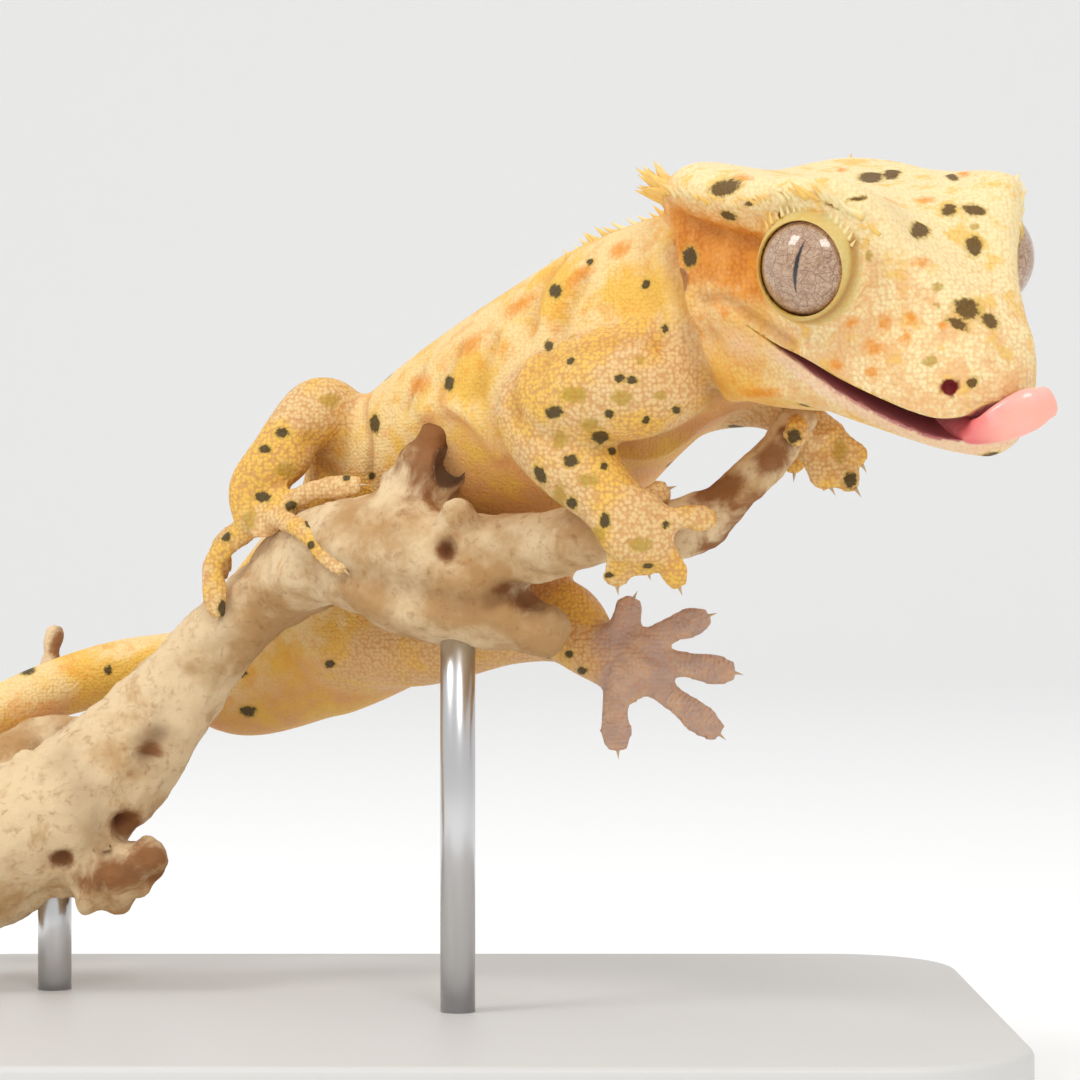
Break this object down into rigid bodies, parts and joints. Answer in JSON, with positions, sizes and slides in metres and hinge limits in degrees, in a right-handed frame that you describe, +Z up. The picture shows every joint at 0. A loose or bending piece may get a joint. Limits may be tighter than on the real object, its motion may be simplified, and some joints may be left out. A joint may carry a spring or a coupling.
{
  "type": "crested gecko on a branch",
  "caption": "Life-size still model of a crested gecko gripping a short driftwood branch and licking its lip, held on a plain display stand.",
  "frame": {"origin": "centre of the stand base's underside", "axes": "+X towards the side the head looks to and along the base's length, +Y away from the viewer, +Z up"},
  "size_m": [0.1254, 0.0917, 0.0844],
  "materials": {
    "skin": "matte granular skin, cream and yellow-orange with dark spots",
    "tongue": "moist pink",
    "eye": "clear glossy cornea over a veined beige-brown iris",
    "driftwood": "pale sandblasted wood",
    "stand_base": "matte off-white",
    "stand_rod": "brushed"
  },
  "bodies": {
    "root": {"neck": "skin", "chest": "skin", "belly": "skin", "tail_base": "skin", "tail_middle": "skin", "tail_tip": "skin", "upper_arm_right": "skin", "forearm_right": "skin", "hand_right": "skin", "upper_arm_left": "skin", "forearm_left": "skin", "hand_left": "skin", "thigh_right": "skin", "shank_right": "skin", "foot_right": "skin", "thigh_left": "skin", "shank_left": "skin", "foot_left": "skin", "head": "skin", "jaw": "skin", "tongue": "tongue", "eye_left": "eye", "eye_right": "eye", "perch_stem": "driftwood", "perch_limb": "driftwood", "perch_fork": "driftwood", "stand_base": "stand_base", "stand_rod_front": "stand_rod", "stand_rod_back": "stand_rod"}
  },
  "joints": []
}
